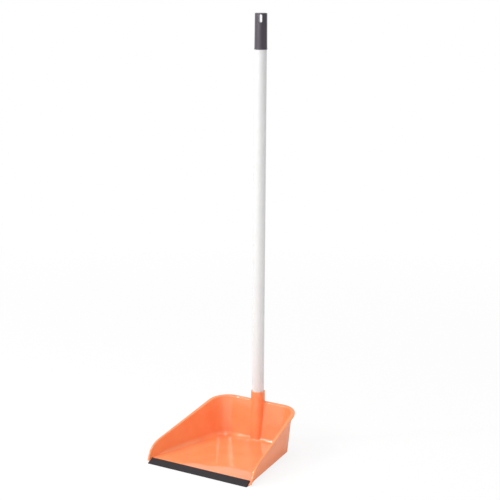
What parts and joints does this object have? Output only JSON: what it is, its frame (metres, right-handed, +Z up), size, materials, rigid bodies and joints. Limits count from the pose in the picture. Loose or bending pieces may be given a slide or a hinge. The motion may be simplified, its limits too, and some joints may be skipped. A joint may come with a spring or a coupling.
{
  "type": "long-handled dustpan",
  "caption": "Open moulded dustpan with a rubber front strip, a flanged rim, and an upright tube handle with a slotted end grip pushed into its socket.",
  "frame": {"origin": "on the ground, under the middle of the whole part's width and depth", "axes": "+Z up along the handle, -Y towards the front of the rubber strip, +X to the right as seen from the front"},
  "size_m": [0.2286, 0.2194, 0.812],
  "materials": {
    "pan_plastic": "glossy moulded polypropylene",
    "strip_rubber": "matt extruded rubber",
    "tube_coating": "satin white coating on steel tube",
    "plug_plastic": "matt moulded plastic",
    "grip_plastic": "satin moulded plastic with a fine texture"
  },
  "bodies": {
    "pan": {"pan": "pan_plastic", "rubber_strip": "strip_rubber"},
    "handle": {"handle_tube": "tube_coating", "end_plug": "plug_plastic", "hand_grip": "grip_plastic"}
  },
  "joints": [
    {"name": "handle_pull", "type": "slide", "parent": "pan", "child": "handle", "axis": [0, 0, 1], "range_m": [0, 0.1]}
  ]
}
